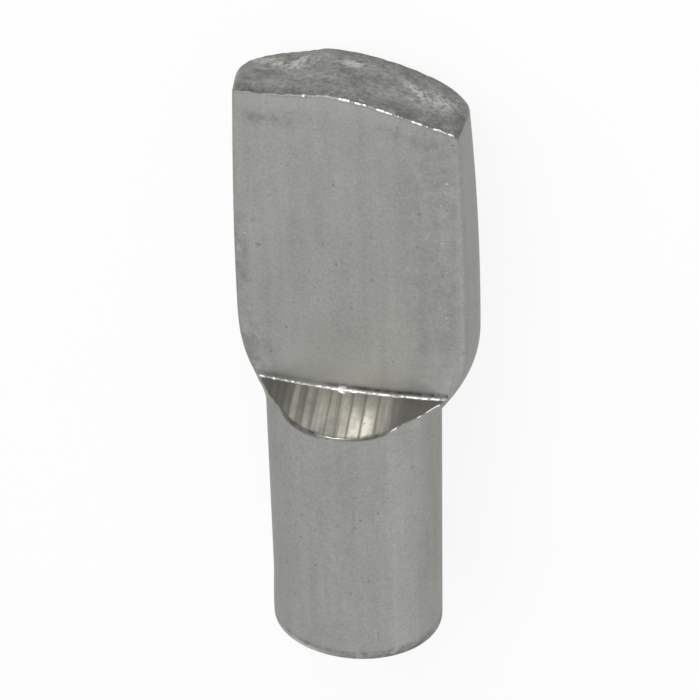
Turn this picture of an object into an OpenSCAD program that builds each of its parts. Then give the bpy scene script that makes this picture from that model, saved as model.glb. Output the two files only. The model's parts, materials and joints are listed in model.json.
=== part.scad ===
// Spoon shelf support pin, cold forged from one piece of round wire and plated.
// The pin lies along Y and points to -Y, and the flat shelf face looks up along +Z.
// The origin is on the pin's axis, where the flare first leaves the round pin.

/* [Pin] */
// Diameter of the round pin
pin_d = 6.35; // [4.8:0.05:7.4]
// Length of the pin from the flare to its free end
pin_len = 9.6; // [6:0.05:16]
// Rounding of the rim at the pin's free end
pin_round = 0.3; // [0.1:0.05:1.2]
// Growth of the radius where the wire was upset, from the pin to the shoulder line
neck_rise = 0.1; // [0.02:0.02:0.3]

/* [Paddle] */
// Width of the paddle at its widest place
paddle_w = 8.7; // [7.8:0.05:12]
// Length of the paddle from the flare to the middle of its cropped end
paddle_len = 12.3; // [8:0.05:20]
// Thickness of the paddle
paddle_t = 3.15; // [2.4:0.05:4]
// Height of the flat shelf face above the pin's axis
face_rise = 0.55; // [0.1:0.05:1.2]
// Distance from the start of the flare to the widest place
widest_at = 2.45; // [1.9:0.05:3.1]
// Radius of the flare, seen on the shelf face
flare_r = 2.7; // [2:0.02:3.2]
// Radius of the long bowed sides, seen on the shelf face
side_r = 135; // [60:1:400]

/* [Sides] */
// Radius of the swelling sides across the thickness
swell_r = 4.2; // [3:0.1:12]
// Depth of the fullest line of the sides below the shelf face
swell_depth = 1.45; // [1:0.05:1.8]
// Rounding between the shelf face and the sides
face_round = 0.25; // [0.1:0.05:0.5]
// Rounding between the back and the sides
back_round = 0.8; // [0.3:0.05:0.9]

/* [Shoulder] */
// Distance from the start of the flare to the middle of the shoulder line
shoulder_at = 0.7; // [0.4:0.02:1.4]
// Radius of the nose of the punch that pressed the shoulder
shoulder_r = 34; // [20:1:80]
// Lean of the shoulder towards the pin, in degrees
shoulder_lean = 6; // [0:0.5:20]
// Turn of the shoulder line across the pin, in degrees
shoulder_skew = 2; // [-4:0.5:4]

/* [Cropped end] */
// Radius of the arched end, seen on the shelf face
end_r = 10.4; // [7:0.1:30]
// Turn of the crop across the paddle, in degrees
end_skew = 6.3; // [-8:0.1:8]
// Radius of the end across its thickness
end_dome_r = 8; // [4:0.1:20]
// Depth of the fullest line of the end below the shelf face
end_depth = 2; // [0.5:0.05:3]

/* [Hidden] */
$fn = 96;
nickel = [0.60, 0.60, 0.58];
pin_r = pin_d / 2;
root_r = pin_r + neck_rise * widest_at / shoulder_at;
half_w = paddle_w / 2;
back_z = face_rise - paddle_t;
swell_z = face_rise - swell_depth;
back_depth = paddle_t - swell_depth;
flare_x = half_w - flare_r;
// Turn of a long side that takes it from the widest place to past the end
side_turn = asin((paddle_len - widest_at + half_w) / side_r);
// The edge roundings stand proud of the swell by this much, so that the arcs cross
crossing = 0.004;
face_seat = swell_r - face_round + crossing;
back_seat = swell_r - back_round + crossing;
face_turn = asin((swell_depth - face_round) / face_seat);
back_turn = asin((back_depth - back_round) / back_seat);
// The end and the shoulder are arcs whose centres are swung round by their skew
end_x = -end_r * sin(end_skew);
end_y = paddle_len - end_r * cos(end_skew);
punch_x = shoulder_r * sin(shoulder_skew);
punch_y = shoulder_at + shoulder_r * cos(shoulder_skew);

// Section through the side of the paddle, from its fullest line at x = 0 to a distance inwards:
// one swelling arc, run into the face and the back by two smaller arcs
module side_section(inwards) {
    face_x = face_seat * cos(face_turn) - swell_r;
    back_x = back_seat * cos(back_turn) - swell_r;
    intersection() {
        translate([-swell_r, swell_z]) circle(swell_r);
        translate([-swell_r, swell_z]) polygon([
            [0, 0],
            2 * swell_r * [cos(back_turn), -sin(back_turn)],
            2 * swell_r * [cos(face_turn), sin(face_turn)]
        ]);
        translate([-inwards, back_z]) square([2 * inwards, paddle_t]);
    }
    translate([-inwards, swell_z]) square([inwards + face_x, swell_depth]);
    translate([-inwards, back_z]) square([inwards + back_x, back_depth]);
    translate([face_x, face_rise - face_round]) circle(face_round);
    translate([back_x, back_z + back_round]) circle(back_round);
}

// The same section carried round a flare, from the flare's centre line outwards
module flare_section() {
    intersection() {
        translate([flare_r, 0]) side_section(paddle_w);
        translate([0, back_z - paddle_t]) square([paddle_w, 3 * paddle_t]);
    }
}

// Root of the paddle: a quarter turn of the side at each flare, and the straight run between
module flare() {
    for (side = [0, 1]) mirror([side, 0, 0]) translate([flare_x, widest_at, 0])
        rotate([0, 0, -90]) rotate_extrude(angle = 90) flare_section();
    translate([flare_x, widest_at, 0])
        rotate([90, 0, -90]) linear_extrude(2 * flare_x) flare_section();
}

// Everything on the inner side of one long side, from the widest place to past the end
module long_side() {
    translate([half_w - side_r, widest_at, 0])
        rotate_extrude(angle = side_turn, $fn = 960)
            translate([side_r, 0]) side_section(2 * paddle_w);
}

// Arched disc that the cropped end is the rim of, a little thicker than the paddle
module end_disc() {
    dome = end_dome_r - sqrt(pow(end_dome_r, 2) - pow(end_depth, 2));
    translate([end_x, end_y, 0]) rotate_extrude() intersection() {
        translate([0, back_z - face_round]) square([2 * end_r, paddle_t + 2 * face_round]);
        translate([end_r + dome - end_dome_r, face_rise - end_depth]) circle(end_dome_r);
    }
}

// Flattened paddle with its flare, swelling sides and arched end
module paddle() {
    flare();
    intersection() {
        long_side();
        mirror([1, 0, 0]) long_side();
        end_disc();
    }
}

// Round pin with a rounded free end, run on into the root of the paddle by a swelling neck
module round_pin() {
    rotate([90, 0, 0]) rotate_extrude() {
        polygon([[0, 0], [pin_r, 0], [root_r, -widest_at], [0, -widest_at]]);
        square([pin_r, pin_len - pin_round]);
        square([pin_r - pin_round, pin_len]);
        translate([pin_r - pin_round, pin_len - pin_round]) circle(pin_round);
    }
}

// Punch with a rounded nose that presses the wire down to the level z
module punch(z) {
    depth = pin_r + paddle_t;
    translate([punch_x, punch_y, z])
        cylinder(h = depth, r1 = shoulder_r, r2 = shoulder_r + depth * tan(shoulder_lean));
}

// The whole forging: the pressed wire and the paddle it was spread into
module shelf_pin() {
    color(nickel) {
        difference() {
            round_pin();
            punch(face_rise);
            mirror([0, 0, 1]) punch(-back_z);
        }
        paddle();
    }
}

shelf_pin();
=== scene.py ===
"""Looks of a forged spoon shelf pin: one surface for the whole forging, its plating, and a plain studio."""

import json

import bpy
import numpy as np
from mathutils import Matrix, Vector

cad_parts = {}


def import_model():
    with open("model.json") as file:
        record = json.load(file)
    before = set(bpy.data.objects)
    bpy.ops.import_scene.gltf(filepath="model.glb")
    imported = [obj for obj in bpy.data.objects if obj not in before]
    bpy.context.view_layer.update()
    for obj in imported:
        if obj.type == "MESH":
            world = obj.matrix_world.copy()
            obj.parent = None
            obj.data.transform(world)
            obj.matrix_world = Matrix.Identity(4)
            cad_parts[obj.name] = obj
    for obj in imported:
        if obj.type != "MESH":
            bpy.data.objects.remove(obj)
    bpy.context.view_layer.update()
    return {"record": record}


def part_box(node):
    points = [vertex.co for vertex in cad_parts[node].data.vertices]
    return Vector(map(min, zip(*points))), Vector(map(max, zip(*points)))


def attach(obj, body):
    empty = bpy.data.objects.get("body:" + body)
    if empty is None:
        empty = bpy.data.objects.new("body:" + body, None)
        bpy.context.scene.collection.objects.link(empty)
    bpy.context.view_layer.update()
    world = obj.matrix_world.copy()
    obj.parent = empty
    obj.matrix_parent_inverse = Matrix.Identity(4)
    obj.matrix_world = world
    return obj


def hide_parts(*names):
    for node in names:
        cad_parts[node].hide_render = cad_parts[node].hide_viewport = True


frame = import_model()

MM = 0.001

# Sizes that the frame gives, in millimetres
MOUNTS = {mount["name"]: mount for mount in frame["record"]["mounts"]}
PIN_R = MOUNTS["pin"]["dims"]["r_mm"]
FACE_Z = MOUNTS["shelf_face"]["pos_m"][2] / MM
PIN_TIP_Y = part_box("shelf_pin")[0].y / MM

# Pin: bent by a trifle, and cropped askew at its free end, with a rim that is sharper at the sides and
# spread on the left
PIN_BEND = 0.004
TIP_SKEW = -0.033
TIP_TILT = 0.045
TIP_TRIM = -0.17
TIP_ROUND = 0.42
TIP_SHARPENING = 0.18
TIP_SPREAD = 0.06
SPREAD_REACH = 2.5
SPREAD_EASE = 2

# Paddle: its thickness, the swelling of its sides, and its roundings, at the back left and right
PADDLE_T = 3.16
BACK_Z = FACE_Z - PADDLE_T
SWELL_R = 4.5
SWELL_DEPTH = 1.5
BACK_ROUND = (0.76, 0.9)
FACE_ROUND = 0.25

# The rounding of the face starts sharp a little before the shoulder and grows over a short run
SHARP_ROUND = 0.0001
ROUND_LEAD = 0.1
ROUND_RUN = 0.5

# Long sides and flares, left and right: the halves were not spread quite alike
HALF_W = (4.34, 4.38)
SIDE_R = (92, 92)
WIDEST_Y = (3.45, 2.62)
FLARE_Y = (0.28, 0.08)
FLARE_LEAN = (0.15, 0.22)
FLARE_POWER = (2.4, 2.15)
FLARE_FILLET = 0.03

# Straight edges of the flat, left and right: half width at the origin and its growth along the paddle
FLAT_HALF = (3.6, 3.78)
FLAT_GROWTH = (0.007, 0.011)

# Shoulder: the line across the flat, and the leaning wall that stands on it
SHOULDER_Y = 0.69
SHOULDER_SKEW = -0.035
SHOULDER_ARC = 0.012
WALL_LEAN = 0.1
WALL_STEP = 0.02

# Roundings at the wall's foot and top, the top's growing on the right, and never past a share of the wall
WALL_FOOT = 0.045
WALL_TOP = 0.035
WALL_TOP_GAIN = 1.2
WALL_TOP_X = 1.6
WALL_TOP_EASE = 0.4
CUT_SHARE = 0.4
LEAST_CUT = 0.005

# Horns of the crescent: where the wall is low it is drawn out, and what stands higher is spread less
HORN_RUN = 0.15
HORN_TALL = 0.3
HORN_FADE = 0.4

# Flanks beside the crescent, where the punch pressed the wire down
FLANK = 0.22
FLANK_X = 2.35
FLANK_W = 0.6
FLANK_TALL = 0.5
FLANK_RUN = 1.3

# Cropped end: front edge, back edge, the fullness between them, and the edge's roundings
END_Y = 12.27
END_FALL = 0.29
FALL_X = 0.3
FALL_W = 0.35
HUMP = 0.07
HUMP_X = -0.7
HUMP_W = 0.45
CROWN_Y = 12.62
CROWN_X = -1.21
CROWN_RISE = 0.2
CROWN_ARC = 0.12
END_DOME = 0.16
END_CUT_FRONT = 0.09
END_CUT_BACK = 0.2
END_CUT_SIDE = 0.15

# Bulge that the cropping left at the left of the end
BULGE = 0.1
BULGE_RUN = 1.6
BULGE_X = -1.8
BULGE_EASE = 1.6
BULGE_Z = -1.0
BULGE_W = 0.8

# Depths of the marks that the forging left. Beads stand out at a slant, by a share along Y and Z
FOOT_BEAD = 0.03
TOP_BEAD = 0.015
EDGE_BEAD = 0.04
BEAD_SLANT = 0.7
GROOVE_DEPTH = 0.02
STRIPE_DEPTH = 0.03
TEAR_DEPTH = 0.06
WAVE_DEPTH = 0.012

# Rows of the grid, run by run, from the middle of the pin's free end to the middle of the cropped end
RUNS = {
    "disc": 14, "rim": 10, "pin": 46, "top": 8, "wall": 26, "foot": 10, "paddle": 90, "edge": 10, "cap": 54,
}
WALL_CROWDING = 1.6
PADDLE_CROWDING = 0.12
EVEN_AFTER = 1 / 3
FOOT_TRIES = 4
EDGE_TRIES = 8


def smooth(share):
    """Smooth step: 3 s^2 - 2 s^3 with s held between 0 and 1."""
    s = np.clip(share, 0, 1)
    return s * s * (3 - 2 * s)


def after(value, start, ease):
    """Smooth rise from 0 at the start to 1 at the ease beyond it."""
    return smooth((value - start) / ease)


def before(value, end, ease):
    """Smooth fall from 1 at the ease before the end to 0 at the end."""
    return smooth((end - value) / ease)


def span(value, start, end, ease):
    """A smooth rise after the start times a smooth fall before the end."""
    return after(value, start, ease) * before(value, end, ease)


def hill(value, middle, width):
    """A bell of height 1: exp(-((value - middle) / width)^2)."""
    return np.exp(-((value - middle) / width) ** 2)


def soft_ramp(value, width):
    """A ramp that is 0 below zero and the value itself above it, turning over the given width:
    width log(1 + exp(value / width))."""
    return width * np.logaddexp(0, value / width)


# Random heights along each side of the noise's lattice, before they repeat
LATTICE = 64


def value_noise(u, v, seed):
    """Random heights from -1 to 1 on a unit lattice, joined by smooth steps in both directions."""
    heights = np.random.default_rng(seed).uniform(-1, 1, (LATTICE, LATTICE))
    i, j = np.floor(u).astype(int), np.floor(v).astype(int)
    s, t = smooth(u - i), smooth(v - j)

    def joined(column):
        here = heights[i % LATTICE, column % LATTICE]
        beside = heights[(i + 1) % LATTICE, column % LATTICE]
        return here * (1 - s) + beside * s

    return joined(j) * (1 - t) + joined(j + 1) * t


def layered_noise(u, v, seed, layers=3):
    """Sum of value noises, each twice as fine and half as high as the one before."""
    return sum(value_noise(u * 2 ** k, v * 2 ** k, seed + k) / 2 ** k for k in range(layers))


def line_noise(x, rate, seed):
    """Value noise along a line across the part, with so many heights to the millimetre."""
    return value_noise(x * rate, 0 * x, seed)


def mottle(u, v, rate, level, depth, seed):
    """Value noise of a depth about a level, with so many heights to the millimetre."""
    return level + depth * value_noise(u * rate, v * rate, seed)


def shares(count):
    """Shares from 0 to 1 for so many rows, without the 0 that the run before already holds."""
    return np.linspace(0, 1, count + 1)[1:, None]


def rise(run):
    """Shares from 0 to 1 over a run of rows."""
    return shares(RUNS[run])


def hump(run):
    """Half a sine over a run of rows."""
    return np.sin(np.pi * rise(run))


def on_runs(**values):
    """A column for the grid: a number or a share for each named run of rows, and 0 on the others."""
    return np.concatenate([np.broadcast_to(values.get(run, 0), (count, 1)) for run, count in RUNS.items()])


def face_inset(z, face_round):
    """How far a side lies inside its fullest line between that line and the face: a wide arc and a quarter
    round."""
    swell = np.clip(z - FACE_Z + SWELL_DEPTH, 0, None) ** 2 / (2 * SWELL_R)
    into_face = np.clip(face_round - (FACE_Z - z), 0, face_round)
    return swell + face_round - np.sqrt(face_round ** 2 - into_face ** 2)


def back_inset(z, back_round):
    """The same between the fullest line and the back."""
    swell = np.clip(FACE_Z - SWELL_DEPTH - z, 0, None) ** 2 / (2 * SWELL_R)
    into_back = np.clip(back_round - (z - BACK_Z), 0, back_round)
    return swell + back_round - np.sqrt(back_round ** 2 - into_back ** 2)


def half_width(y, z, side, face_round, spread_share):
    """Half width at a place along the forging and a height: the round wire's half chord, spread to the
    bowed paddle by 1 - (1 - s)^n, where s runs from the flare's foot to the widest place. A share
    below 1 holds the spreading back. The side's fullest line is bowed, and the edge of the flat is
    straight."""
    fullest = HALF_W[side] - np.clip(y - WIDEST_Y[side], 0, None) ** 2 / (2 * SIDE_R[side])
    flat = FLAT_HALF[side] + FLAT_GROWTH[side] * y
    to_flat = (fullest - flat) / face_inset(FACE_Z, FACE_ROUND)
    wire = np.sqrt(PIN_R ** 2 - z ** 2)
    foot = FLARE_Y[side] + FLARE_LEAN[side] * (z - FACE_Z)
    run = soft_ramp(y - foot, FLARE_FILLET) / (WIDEST_Y[side] - foot)
    spread = spread_share * (1 - (1 - np.clip(run, 0, 1)) ** FLARE_POWER[side])
    inset = to_flat * face_inset(z, face_round) + back_inset(z, BACK_ROUND[side])
    return wire + (fullest - inset - wire) * spread


def shoulder_line(x):
    """Place of the shoulder line across the flat: a shallow arc, a little askew."""
    return SHOULDER_Y + SHOULDER_SKEW * x + SHOULDER_ARC * x ** 2


def end_front(x):
    """Front edge of the cropped end: straight on the left, a small hump, and a bent fall to the right."""
    return END_Y + HUMP * hill(x, HUMP_X, HUMP_W) - END_FALL * soft_ramp(x - FALL_X, FALL_W)


def end_back(x):
    """Back edge of the cropped end: a straight rise from the left to the crown, then an arc down."""
    left, right = np.minimum(x - CROWN_X, 0), np.maximum(x - CROWN_X, 0)
    return CROWN_Y + CROWN_RISE * left - CROWN_ARC / 2 * right ** 2


def end_surface(x, z):
    """Cropped end: front and back edge blended over the thickness, with a dome of 4 q (1 - q) between."""
    q = np.clip((FACE_Z - z) / PADDLE_T, 0, 1)
    return (1 - q) * end_front(x) + q * end_back(x) + END_DOME * 4 * q * (1 - q)


def tip_plane(x, z):
    """Plane of the pin's cropped tip, tilted a little both ways."""
    return PIN_TIP_Y + TIP_TRIM + TIP_SKEW * x + TIP_TILT * z


def corner(start, at, end, share):
    """Parabola that rounds a corner: (1 - t)^2 start + 2 t (1 - t) at + t^2 end."""
    return (1 - share) ** 2 * start + 2 * share * (1 - share) * at + share ** 2 * end


class Section:
    """The loop of columns round the forging: front, right side, back and left side.

    A front or back column holds its share of the width from -1 to 1, and a side column its height."""

    FRONT, SIDE_TURN, SIDE_MID, BACK = 231, 10, 22, 61

    def __init__(self):
        turn = np.linspace(0, np.pi / 2, self.SIDE_TURN)
        near_face = FACE_Z - FACE_ROUND * (1 - np.cos(turn))
        near_back = BACK_Z + max(BACK_ROUND) * (1 - np.cos(turn))
        middle = np.linspace(near_face[-1], near_back[-1], self.SIDE_MID)
        side_z = np.concatenate([near_face[1:], middle[1:-1], near_back[:0:-1]])
        front, back = np.linspace(-1, 1, self.FRONT), np.linspace(1, -1, self.BACK)
        kind = np.repeat([0, 1, 2, 3], [len(front), len(side_z), len(back), len(side_z)])
        self.columns = len(kind)
        self.front, self.is_right, self.back = kind == 0, kind == 1, kind == 2
        self.flat = self.front | self.back
        face_turn, back_turn = np.arccos(FACE_Z / PIN_R), np.arccos(BACK_Z / PIN_R)
        side_turn = np.arccos(side_z / PIN_R)
        angle = np.concatenate([
            front * face_turn,
            side_turn,
            np.pi - back * (np.pi - back_turn),
            2 * np.pi - side_turn[::-1],
        ])
        self.wire_x, self.wire_z = PIN_R * np.sin(angle), PIN_R * np.cos(angle)
        share = np.concatenate([front, side_z, back, side_z[::-1]])
        self.z = np.where(self.front, FACE_Z, np.where(self.back, BACK_Z, share))
        widest = np.where(self.front, np.sin(face_turn), np.sin(back_turn)) * PIN_R
        self.across = np.where(self.flat, self.wire_x / widest, np.where(self.is_right, 1, -1))
        self.even = np.where(self.flat, share, self.across)
        self.on_right = self.across >= 0
        self.wall = np.where(self.flat, np.abs(self.wire_z - self.z), 0)

    def x(self, y, height=0.0, evenness=0.0):
        """Across each column at y. Its share of the width follows the wire's circle, or is even on the
        flats, and what still stands at a height over the flat is spread less: by exp(-height / fade)."""
        face_round = SHARP_ROUND + FACE_ROUND * after(y, SHOULDER_Y - ROUND_LEAD, ROUND_RUN)
        spread_share = np.exp(-height / HORN_FADE)
        left = half_width(y, self.z, 0, face_round, spread_share)
        right = half_width(y, self.z, 1, face_round, spread_share)
        share = self.across + (self.even - self.across) * evenness
        return share * np.where(self.on_right, right, left)

    def settled(self, line, start, tries):
        """The y at which a line meets each column: the line's y is taken again at the y just found."""
        y = np.full(self.columns, start)
        for _ in range(tries):
            y = line(y)
        return y


def free_end(ring):
    """Free end of the pin: a flat disc, and a rim that turns through a quarter round, on the tip's plane."""
    rim = TIP_ROUND - TIP_SHARPENING * (ring.wire_x / PIN_R) ** 2
    disc = rise("disc") * (1 - rim / PIN_R)
    turn = rise("rim") * np.pi / 2
    reach = np.concatenate([disc, 1 - (1 - np.sin(turn)) * rim / PIN_R])
    lift = np.concatenate([disc * 0, (1 - np.cos(turn)) * rim])
    x, z = ring.wire_x * reach, ring.wire_z * reach
    return np.stack([x, tip_plane(x, z) + lift, z], -1)


def neck(ring, start_y):
    """Pin and shoulder: in each column a path in y and z along the wire, round the wall's top, down the
    leaning wall and round its foot, which the section then places across. Also the y where it ends."""
    foot_y = ring.settled(lambda y: shoulder_line(ring.x(y)), SHOULDER_Y, FOOT_TRIES)
    flank = FLANK * hill(np.abs(ring.wire_x), FLANK_X, FLANK_W) * ring.front * smooth(ring.wall / FLANK_TALL)
    wall = ring.wall - flank
    horn = HORN_RUN * (1 - np.clip(wall / HORN_TALL, 0, 1))
    top_y = foot_y - WALL_STEP - WALL_LEAN * wall - horn
    wire_z = np.where(ring.flat, ring.wire_z, ring.z)
    top, foot = np.stack([top_y, wire_z - flank], -1), np.stack([foot_y, ring.z], -1)
    slope = (foot - top) / np.linalg.norm(foot - top, axis=-1, keepdims=True)

    top_round = WALL_TOP * (1 + WALL_TOP_GAIN * after(ring.wire_x, WALL_TOP_X, WALL_TOP_EASE))
    top_cut = np.minimum(top_round, CUT_SHARE * wall)[:, None] + LEAST_CUT
    foot_cut = np.minimum(WALL_FOOT, CUT_SHARE * wall)[:, None] + LEAST_CUT
    forwards = np.array([1, 0])
    top_start, top_end = top - forwards * top_cut, top + slope * top_cut
    foot_start, foot_end = foot - slope * foot_cut, foot + forwards * foot_cut

    pin_y = start_y + (top_start[:, 0] - start_y) * (1 - np.cos(np.pi * rise("pin"))) / 2
    pin_z = wire_z - flank * smooth(1 + (pin_y - top_start[:, 0]) / FLANK_RUN)
    down_wall = 1 - (1 - rise("wall")[..., None]) ** WALL_CROWDING
    path = np.concatenate([
        np.stack([pin_y, pin_z], -1),
        corner(top_start, top, top_end, rise("top")[..., None]),
        top_end + (foot_start - top_end) * down_wall,
        corner(foot_start, foot, foot_end, rise("foot")[..., None]),
    ])
    y, z = path[..., 0], path[..., 1]
    return np.stack([ring.x(y, np.abs(z - ring.z)), y, z], -1), foot_end[:, 0]


def flat_paddle(ring, start_y, end_y):
    """Paddle between the shoulder and the cropped end: the section at each y, with rows crowded to both
    ends by r - c sin(2 pi r), and columns that become even on the flats."""
    run = rise("paddle") - PADDLE_CROWDING * np.sin(2 * np.pi * rise("paddle"))
    y = start_y + (end_y - start_y) * run
    return np.stack([ring.x(y, evenness=smooth(run / EVEN_AFTER)), y, ring.z + 0 * y], -1)


def cropped_end(ring, edge_y, edge_cut):
    """Cropped end of the paddle: a rounded edge, then the section drawn in to its middle on the end's
    surface."""
    edge_x = ring.x(edge_y, evenness=1.0)
    middle_z = FACE_Z - PADDLE_T / 2
    from_middle = ring.z - middle_z
    inner = 1 - edge_cut / np.hypot(edge_x, from_middle)
    inner_y = end_surface(edge_x * inner, middle_z + from_middle * inner)
    cap = inner * (1 - shares(RUNS["cap"] + 1)[:-1])
    scale = np.concatenate([corner(1, 1, inner, rise("edge")), cap])
    x, z = edge_x * scale, middle_z + from_middle * scale
    rounded_y = corner(edge_y - edge_cut, edge_y, inner_y, rise("edge"))
    y = np.concatenate([rounded_y, end_surface(x[RUNS["edge"]:], z[RUNS["edge"]:])])
    return np.stack([x, y, z], -1)


def plain_forging(ring):
    """The forging before its marks, as one closed grid of points, rows by columns: rows run from the
    middle of the pin's free end, up the pin, over the shoulder, along the paddle and in to the middle
    of the cropped end. Then its left is spread at the tip and bulged at the end, and the pin is bent."""
    tip = free_end(ring)
    shoulder, foot_y = neck(ring, tip[-1, :, 1])
    edge_y = ring.settled(lambda y: end_surface(ring.x(y, evenness=1.0), ring.z), END_Y, EDGE_TRIES)
    edge_cut = np.where(ring.front, END_CUT_FRONT, np.where(ring.back, END_CUT_BACK, END_CUT_SIDE))
    paddle = flat_paddle(ring, foot_y, edge_y - edge_cut)
    points = np.concatenate([tip, shoulder, paddle, cropped_end(ring, edge_y, edge_cut)])

    x, y, z = np.moveaxis(points, -1, 0)
    x -= TIP_SPREAD * smooth(-x / PIN_R) * before(y, PIN_TIP_Y + SPREAD_REACH, SPREAD_EASE)
    x += PIN_BEND * np.minimum(y, 0)
    near_end = after(y, END_Y - BULGE_RUN, BULGE_RUN) * before(x, BULGE_X, BULGE_EASE)
    x -= BULGE * near_end * hill(z, BULGE_Z, BULGE_W)
    return points


class Places:
    """Where each point of the plain forging lies, in millimetres: over the shoulder line, below the end's
    front edge, in from the edges of the flat, under the face, and away from the pin's tip."""

    def __init__(self, ring, points):
        self.x, self.y, self.z = np.moveaxis(points, -1, 0).copy()
        self.wall, self.even = ring.wall, ring.even
        self.front = ring.front * 1.0
        self.on_left = ring.across < 0
        self.face = on_runs(paddle=1) * self.front
        self.right_side = on_runs(paddle=1) * ring.is_right
        self.over = self.y - shoulder_line(self.x)
        self.below_end = end_front(self.x) - self.y
        self.inside = np.where(ring.front, HALF_W[0] * (1 - np.abs(ring.even)), 0)
        self.depth = FACE_Z - self.z
        self.from_tip = self.y - tip_plane(self.x, self.z)


# Stripes on the shoulder: so many to the millimetre, fewer to the right, with a wandering pitch and a lean
STRIPE_RATE = 2.25
STRIPE_EASE = 0.285
STRIPE_LEAN = 0.1
STRIPE_WANDER = 0.5
WANDER_RATE = 1.5
SCRATCH_RATE = 11
SCRATCH_FALL = 0.7
SCRATCH_LIGHT = 0.3


def stripes(x, z):
    """Drag marks down the shoulder, leaning a little: rounded ridges |sin|, wider to the right and of an
    uneven pitch, and a random lightness for each ridge, with fine scratches in it, that scales its painted
    highlight."""
    across = x - STRIPE_LEAN * (z - FACE_Z)
    wander = STRIPE_WANDER * line_noise(across, WANDER_RATE, seed=182)
    phase = STRIPE_RATE * across - STRIPE_EASE * across ** 2 + wander
    scratch = layered_noise(across * SCRATCH_RATE, z * SCRATCH_FALL, seed=77, layers=2)
    each_one = 0.5 + 0.5 * value_noise(np.floor(phase), 0 * x, seed=2058)
    return np.abs(np.sin(np.pi * phase)), each_one + SCRATCH_LIGHT * scratch


# Light on the stripes: what all get, what each one's lightness adds, what is left low down, and two flashes
# right of the middle, each with a strength, a place and a width
STRIPE_LEAST = 0.12
STRIPE_GAIN = 0.38
STRIPE_LOW = 0.65
CREST_SHARPNESS = 1.8
FLASHES = ((0.85, 0.88, 0.28), (0.45, 0.38, 0.2))


def stripe_light(at, ridge, lightness):
    """Light on the torn stripes: none at the horns of the crescent, most right of the middle and high up."""
    height = np.clip((at.z - FACE_Z) / (PIN_R - FACE_Z), 0, 1)
    lit = after(at.x, start=-2.3, ease=0.5) * before(at.x, end=2.3, ease=0.9)
    crest = smooth(CREST_SHARPNESS * ridge)
    high = STRIPE_LOW + (1 - STRIPE_LOW) * smooth(2 * height + 0.5 * at.x)
    shine = lit * (STRIPE_LEAST + STRIPE_GAIN * lightness * crest) * high
    flash = sum(strength * hill(at.x, middle, width) for strength, middle, width in FLASHES)
    return shine + flash * crest * after(height, start=0.2, ease=0.45)


# Bead along the shoulder's foot: its strength on the left, the gain to the right, a lump and crumbs
FOOT_LEFT = 0.42
FOOT_GAIN = 0.24
FOOT_LUMP = 0.45
FOOT_CRUMBS = 0.45
CRUMB_RATE = 10
FOOT_LEAST = 0.1
FOOT_MOST = 1.4


def foot_bead(at):
    """Crumbled beading along the wall's foot, raised and given a painted highlight: half a sine across it,
    times its strength along it.
    """
    strength = FOOT_LEFT + FOOT_GAIN * after(at.x, start=-0.8, ease=0.3)
    strength = strength + FOOT_LUMP * hill(at.x, middle=-0.27, width=0.33)
    strength = strength + FOOT_CRUMBS * layered_noise(at.x * CRUMB_RATE, 0 * at.x, seed=21)
    return on_runs(foot=hump("foot")) * at.front * np.clip(strength, FOOT_LEAST, FOOT_MOST)


def top_highlight_stretches(at):
    """Where the wall's top edge gets a painted highlight: one stretch in the middle and a row of drops on
    the right.
    """
    drops = smooth(mottle(at.x, 0 * at.x, rate=11, level=0.6, depth=1.8, seed=23))
    return np.maximum(hill(at.x, middle=0, width=0.6), after(at.x, start=1.7, ease=0.3) * drops)


# Beads along the cropped end's front edge: fine ones on coarse ones, fuller at the corner, and the least
FINE_BEADS = 0.8
FINE_RATE = 12
CORNER_BEAD = 2
EDGE_LEAST = 0.12


def edge_bead(at):
    """Beads along the right of the end's front edge, raised and given a painted highlight, full at its
    corner, and one drop on the left.
    """
    coarse = mottle(at.x, 0 * at.x, rate=5.5, level=0.75, depth=1.3, seed=31)
    fine = FINE_BEADS * line_noise(at.x, FINE_RATE, seed=33)
    beads = smooth(coarse + fine + CORNER_BEAD * hill(at.x, middle=3.4, width=0.3))
    drop = hill(at.x, middle=-1.3, width=0.07)
    strength = after(at.x, start=-0.6, ease=0.8) * beads + drop
    strength = strength * mottle(at.x, 0 * at.x, rate=17, level=0.9, depth=0.4, seed=35)
    return on_runs(edge=hump("edge")) * at.front * (EDGE_LEAST + (1 - EDGE_LEAST) * strength)


def burr(at):
    """Patch of foam-like burr over the shoulder line and on the wall beneath it, left of the middle."""
    on_face = at.face * hill(at.over, middle=0.05, width=0.14)
    on_wall = on_runs(wall=1, foot=1) * at.front * hill(-at.depth, middle=0.05, width=0.13)
    patch = (on_face + on_wall) * hill(at.x, middle=-0.22, width=0.42)
    return patch * smooth(mottle(at.x, at.y + at.z, rate=8, level=0.65, depth=1.6, seed=27))


# Share of the groove's strength that is left on its left
GROOVE_LEFT = 0.3


def groove_line(at, foam):
    """Groove in the flat just over the shoulder line: a bell across it, faint on the left, broken up at its
    right end, and filled where the burr is. It is pressed into the flat, and its colour darkens it as
    painted shade."""
    strength = GROOVE_LEFT + (1 - GROOVE_LEFT) * after(at.x, start=-1.1, ease=0.6)
    strength = strength * (1 - foam) * mottle(at.x, at.y, rate=5, level=0.88, depth=0.22, seed=25)
    broken = mottle(at.x, at.y, rate=9, level=0.3, depth=0.4, seed=29)
    right_end = 1 - after(at.x, start=2.1, ease=0.6) * broken
    return at.face * hill(at.over, middle=0.16, width=0.1) * strength * right_end


# Painted shade along the edge under the crescent: its strength on the left and further on, and what the
# painted highlights of the top cover
UNDER_BROAD = 0.95
UNDER_THIN = 0.9
UNDER_BEADS = 0.7


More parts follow.
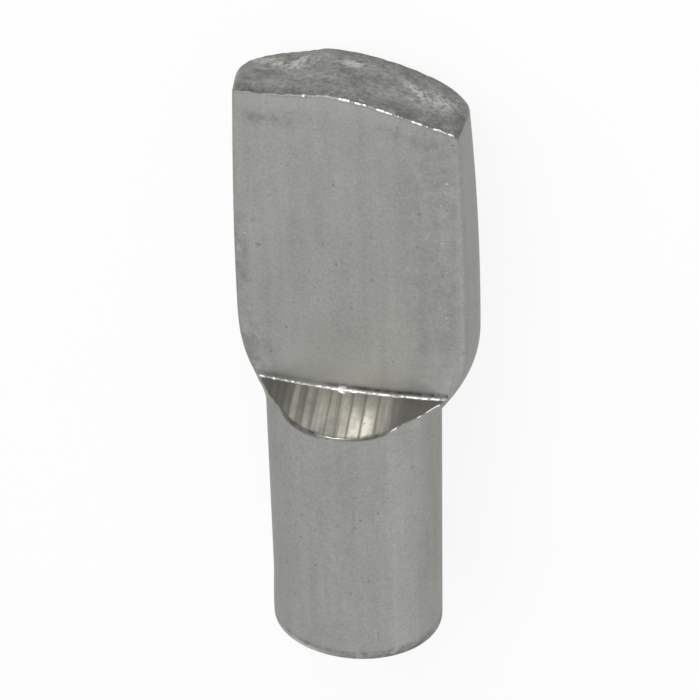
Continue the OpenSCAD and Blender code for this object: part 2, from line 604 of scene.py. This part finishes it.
def crescent_edge_shade(at, top_highlight_patch):
    """Painted shade along the edge under the crescent: broad on its left, and from its middle on a thin line
    that the painted highlights of the top cover."""
    broad = on_runs(pin=after(rise("pin"), start=0.91, ease=0.04), top=1) * at.front
    thin = on_runs(pin=after(rise("pin"), start=0.94, ease=0.025), top=1) * at.front
    on_left = UNDER_BROAD * broad * span(at.x, start=-2.3, end=-0.35, ease=0.4)
    on_right = UNDER_THIN * thin * span(at.x, start=-0.6, end=2.0, ease=0.4) * (1 - UNDER_BEADS * top_highlight_patch)
    return (on_left + on_right) * mottle(at.x, at.y, rate=9, level=0.85, depth=0.3, seed=63)


# Lightening: painted light on the flat and the gap in it, painted light on the right side at its edge and
# further down, and a paler band at the end
PAINTED_LIGHT_FLAT = 0.55
PALE_GAP = 0.8
PAINTED_LIGHT_EDGE = 0.03
PAINTED_LIGHT_SIDE = 0.17
PALE_END = 0.16


def painted_light_and_pale_places(at):
    """Painted light on the flat above the shoulder, with a gap right of the middle, and on the right side;
    and a paler band below the end."""
    above = before(at.over, end=2.6, ease=2.6) * after(at.x, start=-2.9, ease=0.9)
    # Painted light on the flat, lifting it where the wall's dark reflection falls
    flat = PAINTED_LIGHT_FLAT * at.face * above * (1 - PALE_GAP * hill(at.x, middle=1.3, width=0.6))
    # Painted light on the right side
    side = PAINTED_LIGHT_EDGE + PAINTED_LIGHT_SIDE * before(at.z, end=FACE_Z - FACE_ROUND, ease=0.3)
    return flat + at.right_side * side + PALE_END * at.face * hill(at.below_end, middle=0.2, width=0.4)


# Darkening on the flat: the two bands below the end, the right of the flat, and the left edge, with painted
# shade by the flare
DARK_END_BANDS = 0.45
DARK_END_RIGHT_SHARE = 0.5
DARK_RIGHT_VEIL = 0.2
DARK_EDGE_LINE = 0.4
FLARE_PAINTED_SHADE = 0.45
EDGE_REACH = 0.4


def flat_shade_and_dark_marks(at):
    """Darkening on the flat: two short bands below the end, a veil on the right, and along the left edge a
    thin line at half length and a wider painted shade by the flare."""
    left_band = span(at.x, start=-3.6, end=-1.5, ease=0.4)
    right_band = DARK_END_RIGHT_SHARE * span(at.x, start=1.1, end=3.5, ease=0.4)
    band = hill(at.below_end, middle=0.9 - 0.15 * smooth(at.x), width=0.25) * (left_band + right_band)
    veil = after(at.x, start=1.6, ease=1.4)
    left_edge = on_runs(paddle=1) * at.on_left * (at.depth < EDGE_REACH)
    line = DARK_EDGE_LINE * hill(at.inside, middle=0, width=0.15) * hill(at.y, middle=5.9, width=1.8)
    # Painted shade along the left edge by the flare
    shade = FLARE_PAINTED_SHADE * hill(at.inside, middle=0, width=1.2) * before(at.y, end=4.0, ease=1.6)
    return at.face * (DARK_END_BANDS * band + DARK_RIGHT_VEIL * veil) + left_edge * (line + shade)


# Rim of the pin: painted light on the left, painted shade on the right, and a fine dark line over it
RIM_PAINTED_LIGHT = 1.6
RIM_PAINTED_SHADE = 0.8
RIM_EASE = 0.14
RIM_LINE = 0.7
RIM_LINE_AT = 0.45


def pin_rim(at):
    """Painted light and painted shade round the rim of the pin's free end, and a fine dark line over it."""
    rounding = on_runs(rim=1, pin=1)
    rim = rounding * before(at.from_tip, TIP_ROUND, RIM_EASE)
    uneven = mottle(at.x, at.z, rate=13, level=0.85, depth=0.4, seed=61)
    line = rounding * hill(at.from_tip, RIM_LINE_AT, width=0.08) * uneven
    # Painted light on the left of the rim, painted shade on its right
    light = RIM_PAINTED_LIGHT * rim * before(at.x, end=-0.4, ease=1.2)
    return light, RIM_PAINTED_SHADE * rim * after(at.x, start=-0.6, ease=1.2) + RIM_LINE * line


def edge_glint_specks(at):
    """Where the flat gets light specks that are painted glints: near its long edges, and not close to its
    ends.
    """
    left, right = hill(at.inside, middle=0.14, width=0.14), hill(at.inside, middle=0.5, width=0.35)
    return at.face * span(at.y, start=2.4, end=10.8, ease=1.2) * np.where(at.on_left, left, right)


def light_on_end(at):
    """Light places on the torn end: four patches, each a bell across it and in depth, and two patches of
    streaks."""

    def patch(middle, width, lean=0.0):
        return hill(at.x, middle[0], width[0]) * hill(at.depth - lean * at.x, middle[1], width[1])

    def streaks(u, v, seed):
        return smooth(3 * value_noise(u, v, seed) - 0.9)

    return np.maximum.reduce([
        1.3 * patch(middle=(-0.1, 2.15), width=(0.4, 0.2)),
        0.7 * patch(middle=(-3.2, 2.3), width=(0.6, 0.35)),
        0.8 * patch(middle=(-2.0, 2.4), width=(0.6, 0.3), lean=0.3),
        0.8 * patch(middle=(3.0, 1.6), width=(0.7, 0.5)),
        patch(middle=(2.0, 1.3), width=(1.1, 0.7)) * streaks(0.9 * at.x, 6 * at.depth + 3 * at.x, seed=47),
        patch(middle=(-2.2, 2.0), width=(1.2, 0.6)) * streaks(2.2 * at.x, 5 * at.depth - at.x, seed=48),
    ])


# Dark places on the torn end: along its front and back edge, painted shade at its right corner, and on its
# left
END_DARK_FRONT = 0.8
END_DARK_BACK = 0.5
END_CORNER_PAINTED_SHADE = 0.9
END_DARK_LEFT = 0.3


def end_shade_and_dark_marks(at):
    """Dark places on the torn end: bells along both edges, a bell of painted shade at the right corner, a
    veil on the left.
    """
    front = END_DARK_FRONT * hill(at.depth, middle=0.1, width=0.28 + 0.2 * smooth(at.x))
    back = END_DARK_BACK * hill(at.depth, middle=PADDLE_T, width=0.3)
    # Painted shade where the end meets the right side
    right = END_CORNER_PAINTED_SHADE * hill(at.x, middle=3.95, width=0.3) * before(at.depth, end=1.9, ease=0.8)
    left = END_DARK_LEFT * before(at.x, end=-2.2, ease=1.2) * before(at.depth, end=2.1, ease=0.8)
    along_edges = on_runs(edge=rise("edge"), cap=1) * np.maximum(front, back)
    return along_edges + on_runs(edge=1, cap=1) * right + on_runs(cap=1) * left


# Shares of the coarse and the fine tears in the relief of the end
COARSE_TEARS = 0.7
FINE_TEARS = 0.3


def torn_relief(at):
    """Relief of the torn end: coarse layered noise with a finer one on it."""
    coarse = layered_noise(at.x * 0.9, at.z * 1.3, seed=41)
    return COARSE_TEARS * coarse + FINE_TEARS * layered_noise(at.x * 5 + at.y, at.z * 6, seed=45)


# Waves of the flat: the share of its length in which they fade at each end, and the power of their fall
# towards its edges
WAVE_FADE = 1 / 8
WAVE_POWER = 8


def face_waves(at):
    """Slow waves of the flat: layered noise that dies out towards its edges and ends."""
    run = on_runs(paddle=span(rise("paddle"), start=0, end=1, ease=WAVE_FADE))
    off_edges = (1 - np.abs(at.even) ** WAVE_POWER) * at.front
    return run * off_edges * layered_noise(at.x * 0.5, at.y * 0.3, seed=51, layers=2)


# Height of wall from which the stripes are in full, and strengths of the light patches and specks on the end
STRIPED_TALL = 0.3
END_PATCH_STRENGTH = 1.4
END_SPECKLED = 0.25


def forging():
    """The forging with its marks pressed and torn into the plain grid, and the masks of its finishes: for
    the striped wall and the painted highlights on it, for beads with painted highlights, for painted shade
    by the shoulder line and under the crescent, for the torn end, for painted light on the pin's rim with
    light patches on the end, for painted light on the flat and the right side with a paler band below the
    end, for painted shade with dark marks, and for light specks, painted glints along the flat's edges."""
    ring = Section()
    points = plain_forging(ring)
    at = Places(ring, points)

    tall = smooth(at.wall / STRIPED_TALL)
    shoulder = on_runs(top=rise("top"), wall=1, foot=1 - rise("foot")) * tall
    crop = on_runs(edge=rise("edge"), cap=1) * np.ones_like(at.x)
    top_highlight_patch = top_highlight_stretches(at)
    at_foot, at_edge = foot_bead(at), edge_bead(at)
    at_top = on_runs(top=hump("top")) * at.front * tall * top_highlight_patch
    foam = burr(at)
    groove_and_painted_shade = groove_line(at, foam)
    ridge, lightness = stripes(at.x, at.z)
    painted_rim_light, painted_rim_shade_and_line = pin_rim(at)
    end_light = on_runs(cap=1) * light_on_end(at)

    beads = BEAD_SLANT * (FOOT_BEAD * at_foot + EDGE_BEAD * at_edge)
    points[..., 1] += crop * TEAR_DEPTH * torn_relief(at) - shoulder * STRIPE_DEPTH * (1 - ridge) + beads
    points[..., 2] += beads + TOP_BEAD * at_top + FOOT_BEAD * foam - GROOVE_DEPTH * groove_and_painted_shade
    points[..., 2] += WAVE_DEPTH * face_waves(at)

    masks = {
        "shoulder": shoulder,
        "shine": shoulder * stripe_light(at, ridge, lightness),
        "bead_and_painted_highlight": np.clip(at_foot + at_top + at_edge + foam, 0, 1),
        "groove_and_painted_shade": groove_and_painted_shade + crescent_edge_shade(at, top_highlight_patch),
        "crop": crop,
        "painted_rim_light_and_end_patches": painted_rim_light + END_PATCH_STRENGTH * end_light,
        "painted_light_and_pale": painted_light_and_pale_places(at),
        "painted_shade_and_dark_marks": flat_shade_and_dark_marks(at) + painted_rim_shade_and_line + end_shade_and_dark_marks(at),
        "painted_glints_and_specks": edge_glint_specks(at) + END_SPECKLED * on_runs(cap=1) + (1 - END_SPECKLED) * end_light,
    }
    return points, masks


def skin(grid):
    """Quads over a grid whose columns close into a loop, with a fan of triangles at each pole."""
    count, columns = grid.shape[:2]
    here = np.arange(columns)
    beside = (here + 1) % columns
    row = np.arange(count - 1)[:, None] * columns
    quads = np.stack([row + here, row + columns + here, row + columns + beside, row + beside], -1)
    last, pole = (count - 1) * columns, count * columns
    bottom = np.stack([here, beside, np.full(columns, pole)], -1)
    top = np.stack([here + last, np.full(columns, pole + 1), beside + last], -1)
    return quads.reshape(-1, 4), np.concatenate([bottom, top])


def with_poles(grid):
    """A grid's values row by row, then the mean of its first row and of its last, for the two poles."""
    flat = grid.reshape(-1, *grid.shape[2:])
    return np.concatenate([flat, grid[:1].mean(1), grid[-1:].mean(1)])


def link(made):
    """Puts an object into the scene."""
    bpy.context.scene.collection.objects.link(made)
    return made


def forged_pin():
    """The forging as a smooth mesh object at the origin, with a point attribute for each finish."""
    points, masks = forging()
    quads, triangles = skin(points)
    mesh = bpy.data.meshes.new("forged_pin")
    mesh.from_pydata((with_poles(points) * MM).tolist(), [], quads.tolist() + triangles.tolist())
    mesh.polygons.foreach_set("use_smooth", np.ones(len(mesh.polygons), bool))
    for name, mask in masks.items():
        attribute = mesh.attributes.new(name, "FLOAT", "POINT")
        attribute.data.foreach_set("value", with_poles(mask).astype(np.float32))
    mesh.update()
    return link(bpy.data.objects.new("forged_pin", mesh))


class Value:
    """A node's output that takes part in Python arithmetic: each operation adds a Math node."""

    def __init__(self, paint, socket):
        self.paint, self.socket = paint, socket

    def math(self, operation, first, second):
        """Adds a Math node for two values or numbers."""
        return self.paint.node("ShaderNodeMath", {"operation": operation}, {0: first, 1: second})

    def __add__(self, other):
        return self.math("ADD", self, other)

    def __sub__(self, other):
        return self.math("SUBTRACT", self, other)

    def __rsub__(self, other):
        return self.math("SUBTRACT", other, self)

    def __mul__(self, other):
        return self.math("MULTIPLY", self, other)

    __radd__, __rmul__ = __add__, __mul__


class Paint:
    """A node tree, emptied, to which one method adds any node."""

    def __init__(self, owner):
        owner.use_nodes = True
        self.tree = owner.node_tree
        self.tree.nodes.clear()

    def node(self, kind, settings=None, sockets=None, out=0):
        """Adds a node of a kind, sets its settings, then sets or links its sockets, and gives an output."""
        made = self.tree.nodes.new(kind)
        for key, value in (settings or {}).items():
            setattr(made, key, value)
        for key, value in (sockets or {}).items():
            if isinstance(value, Value):
                self.tree.links.new(value.socket, made.inputs[key])
            else:
                made.inputs[key].default_value = value
        return Value(self, made.outputs[out]) if len(made.outputs) else None

    def mask(self, name):
        """A point attribute of the mesh."""
        return self.node("ShaderNodeAttribute", {"attribute_name": name}, out=2)

    def noise(self, place, scale, detail=3.0, roughness=0.5):
        """Noise from 0 to 1 about a half, with features of 1 / scale metres."""
        sockets = {"Vector": place, "Scale": scale, "Detail": detail, "Roughness": roughness}
        return self.node("ShaderNodeTexNoise", None, sockets)

    def step(self, value, low, high):
        """Smooth step from 0 at low to 1 at high."""
        sockets = {"Value": value, "From Min": low, "From Max": high}
        return self.node("ShaderNodeMapRange", {"interpolation_type": "SMOOTHSTEP"}, sockets)

    def stretch(self, place, scale):
        """Coordinates drawn out or pressed together along each axis."""
        return self.node("ShaderNodeMapping", None, {"Vector": place, "Scale": scale})

    def mix(self, share, first, second):
        """One colour turning into another."""
        return self.node("ShaderNodeMix", {"data_type": "RGBA"}, {0: share, 6: first, 7: second}, out=2)


# Colours of the plating, of its painted light, painted shade and dark marks, and of the metal where it is
# torn and dragged. The light colour of the stripes and the colour of the beads are painted highlights, the
# colour of the grooved line is painted shade, and the specks are light, painted glints along the flat's
# edges
NICKEL_DARK = (0.245, 0.245, 0.231, 1)
NICKEL_LIGHT = (0.357, 0.357, 0.338, 1)
PAINTED_LIGHT_AND_PALE_NICKEL = (0.46, 0.46, 0.44, 1)
PAINTED_SHADE_AND_MARK_COLOUR = (0.12, 0.12, 0.113, 1)
GLINT_AND_SPECK_COLOUR = (0.62, 0.62, 0.6, 1)
PIT_COLOUR = (0.1, 0.1, 0.095, 1)
TORN_DARK = (0.15, 0.15, 0.14, 1)
TORN_LIGHT = (0.34, 0.34, 0.32, 1)
STRIPE_DARK = (0.17, 0.165, 0.15, 1)
STRIPE_HIGHLIGHT = (1.0, 0.96, 0.85, 1)
GROOVE_SHADE_COLOUR = (0.07, 0.07, 0.066, 1)
BEAD_HIGHLIGHT_COLOUR = (0.9, 0.9, 0.88, 1)

# Shares of the dark colours where the painted shade by the shoulder line or a pit is in full
GROOVE_SHADE_SHARE = 0.95
PIT_SHARE = 0.4

# How metallic the plating is, the tint of its edges, its roughness and the relief of its grain
METALLIC = 0.85
EDGE_TINT = (0.7, 0.7, 0.7, 1)
SATIN_ROUGH = 0.5
RELIEF_STRENGTH = 0.15
RELIEF_DEPTH = 0.00003


def satin_nickel():
    """Plated steel: grey satin with mottling and drawn streaks, torn and darker on the cropped end, striped
    on the shoulder with warm painted highlights, with painted light, painted shade and painted glints in
    places, and painted highlights on the beaded edges."""
    material = bpy.data.materials.new("satin_nickel")
    paint = Paint(material)
    place = paint.node("ShaderNodeTexCoord", out=3)
    cloud = paint.noise(place, scale=330)
    grain = paint.noise(place, scale=9000, detail=2)
    streak = paint.noise(paint.stretch(place, (1, 0.08, 1)), scale=2200)
    blotch = paint.noise(place, scale=2600, detail=4, roughness=0.7)
    grit = paint.noise(place, scale=7000, detail=3, roughness=0.7)
    torn = paint.noise(paint.stretch(place, (1, 1, 1.6)), scale=900, detail=7, roughness=0.78)
    spot = paint.noise(place, scale=6000, detail=1)
    hollow = paint.noise(place, scale=4000, detail=1)
    crop, shoulder, bead_and_painted_highlight = paint.mask("crop"), paint.mask("shoulder"), paint.mask("bead_and_painted_highlight")

    # Plating, with painted light in places and a paler band
    tone = 0.5 + 0.8 * (cloud - 0.5) + 0.7 * (streak - 0.5) + 1.1 * (grain - 0.5) + 0.5 * (blotch - 0.5)
    colour = paint.mix(tone, NICKEL_DARK, NICKEL_LIGHT)
    colour = paint.mix(paint.mask("painted_light_and_pale"), colour, PAINTED_LIGHT_AND_PALE_NICKEL)

    # Torn end, then painted light on the pin's rim with light patches on the end, and painted shade with
    # dark marks, broken up by blotches and grit
    torn_share = paint.step(torn + 0.5 * (grit - 0.5), low=0.25, high=0.75)
    colour = paint.mix(crop, colour, paint.mix(torn_share, TORN_DARK, TORN_LIGHT))
    light_breakup = paint.step(blotch + 1.2 * (grit - 0.5), low=0.36, high=0.6)
    colour = paint.mix(paint.mask("painted_rim_light_and_end_patches") * light_breakup, colour, PAINTED_LIGHT_AND_PALE_NICKEL)
    dark_breakup = paint.step(blotch, low=0.7, high=0.35)
    colour = paint.mix(paint.mask("painted_shade_and_dark_marks") * dark_breakup, colour, PAINTED_SHADE_AND_MARK_COLOUR)

    # Striped shoulder with its painted highlights, the painted shade by the shoulder line and under the
    # crescent, and the beads' painted highlights
    stripe_share = paint.mask("shine") * (0.45 + 1.1 * blotch)
    colour = paint.mix(shoulder, colour, paint.mix(stripe_share, STRIPE_DARK, STRIPE_HIGHLIGHT))
    # Painted shade by the shoulder line and along the edge under the crescent
    colour = paint.mix(paint.mask("groove_and_painted_shade") * GROOVE_SHADE_SHARE, colour, GROOVE_SHADE_COLOUR)
    # Painted highlight: near-white colour on the beads
    colour = paint.mix(paint.step(bead_and_painted_highlight, low=0.4, high=0.95), colour, BEAD_HIGHLIGHT_COLOUR)

    # Light specks, painted glints along the flat's edges, and pits
    colour = paint.mix(paint.mask("painted_glints_and_specks") * paint.step(spot, low=0.71, high=0.79), colour, GLINT_AND_SPECK_COLOUR)
    colour = paint.mix(paint.step(hollow, low=0.28, high=0.2) * PIT_SHARE, colour, PIT_COLOUR)

    rough = SATIN_ROUGH + 0.1 * crop + 0.05 * shoulder + 0.15 * (cloud - 0.5) - 0.2 * bead_and_painted_highlight
    relief = {"Strength": RELIEF_STRENGTH, "Distance": RELIEF_DEPTH, "Height": grain + streak}
    surface = paint.node("ShaderNodeBsdfPrincipled", None, {
        "Base Color": colour,
        "Metallic": METALLIC,
        "Roughness": rough,
        "Specular Tint": EDGE_TINT,
        "Normal": paint.node("ShaderNodeBump", None, relief),
    })
    paint.node("ShaderNodeOutputMaterial", None, {"Surface": surface})
    return material


def seen(paint):
    """1 for what the camera sees straight, in a reflection or through something clear."""
    path = paint.node("ShaderNodeLightPath")
    rays = [Value(paint, path.socket.node.outputs[name])
            for name in ("Is Camera Ray", "Is Glossy Ray", "Is Transmission Ray")]
    return paint.step(rays[0] + rays[1] + rays[2], 0, 1)


WHITE = (1, 1, 1, 1)
FLOOR_COLOUR = (0.9, 0.9, 0.9, 1)
FLOOR_HALF = 0.6
FLOOR_GLOW = 0.88


def floor():
    """A pale floor under the part, which shows white and keeps the shadow."""
    signs = ((-1, -1), (1, -1), (1, 1), (-1, 1))
    corners = [(sign_x * FLOOR_HALF, sign_y * FLOOR_HALF, -PIN_R * MM) for sign_x, sign_y in signs]
    mesh = bpy.data.meshes.new("floor")
    mesh.from_pydata(corners, [], [(0, 1, 2, 3)])
    material = bpy.data.materials.new("pale_floor")
    paint = Paint(material)
    matte = paint.node("ShaderNodeBsdfDiffuse", None, {"Color": FLOOR_COLOUR})
    glow = paint.node("ShaderNodeEmission", None, {"Color": WHITE, "Strength": 1.0})
    both = paint.node("ShaderNodeMixShader", None, {0: seen(paint) * FLOOR_GLOW, 1: matte, 2: glow})
    paint.node("ShaderNodeOutputMaterial", None, {"Surface": both})
    mesh.materials.append(material)
    link(bpy.data.objects.new("floor", mesh))


ROOM_LIGHT = 0.6


def room():
    """Even white surroundings: full white where they are seen, and dimmer as light on the part."""
    world = bpy.data.worlds.new("studio")
    bpy.context.scene.world = world
    paint = Paint(world)
    strength = ROOM_LIGHT + (1 - ROOM_LIGHT) * seen(paint)
    back = paint.node("ShaderNodeBackground", None, {"Color": WHITE, "Strength": strength})
    paint.node("ShaderNodeOutputWorld", None, {"Surface": back})


def lamp(name, direction, distance, size, brightness):
    """A soft rectangular lamp that faces the part, as bright as it is told whatever its size."""
    light = bpy.data.lights.new(name, "AREA")
    light.shape = "RECTANGLE"
    light.size, light.size_y = size
    light.energy = brightness * np.pi * size[0] * size[1]
    made = link(bpy.data.objects.new(name, light))
    towards = Vector(direction).normalized()
    made.location = towards * distance
    made.rotation_euler = towards.to_track_quat("Z", "Y").to_euler()
    made.visible_camera = False


# Camera: turned right of the face and raised towards the cropped end, with a slight roll
CAMERA_TURN = 14.01
CAMERA_RISE = 31.99
CAMERA_ROLL = 1.722
CAMERA_DISTANCE = 88.457
CAMERA_AIM = (-0.099, 2.07, 0)
CAMERA_FOCAL_PX = 2478.36
CAMERA_NEAR = 0.005
IMAGE_PX = 700
SENSOR_MM = 36


def look():
    """Camera that looks at the aim point from a turn about Y and a rise towards +Y, rolled about its
    axis."""
    turn, rising, roll = np.radians([CAMERA_TURN, CAMERA_RISE, CAMERA_ROLL])
    back = np.array([np.cos(rising) * np.sin(turn), np.sin(rising), np.cos(rising) * np.cos(turn)])
    right = np.cross((0, 1, 0), back)
    right /= np.linalg.norm(right)
    up = np.cross(back, right)
    rolled_right = np.cos(roll) * right - np.sin(roll) * up
    rolled_up = np.sin(roll) * right + np.cos(roll) * up
    place = (np.array(CAMERA_AIM) + back * CAMERA_DISTANCE) * MM
    camera = bpy.data.cameras.new("camera")
    camera.sensor_width = SENSOR_MM
    camera.lens = CAMERA_FOCAL_PX * SENSOR_MM / IMAGE_PX
    camera.clip_start = CAMERA_NEAR
    made = link(bpy.data.objects.new("camera", camera))
    frame_rows = np.column_stack([rolled_right, rolled_up, back, place])
    made.matrix_world = Matrix([*frame_rows.tolist(), (0, 0, 0, 1)])
    bpy.context.scene.camera = made


pin = forged_pin()
pin.data.materials.append(satin_nickel())
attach(pin, "root")
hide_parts("shelf_pin")

floor()
room()
lamp("back_strip", direction=(-0.1, 0.82, 0.55), distance=0.22, size=(0.16, 0.03), brightness=14)
lamp("soft_key", direction=(-0.6, 0.35, 0.7), distance=0.3, size=(0.25, 0.25), brightness=1.2)
lamp("side_strip", direction=(0.79, -0.53, 0.32), distance=0.3, size=(0.06, 0.2), brightness=1.1)
look()
bpy.context.scene.view_settings.view_transform = "Standard"
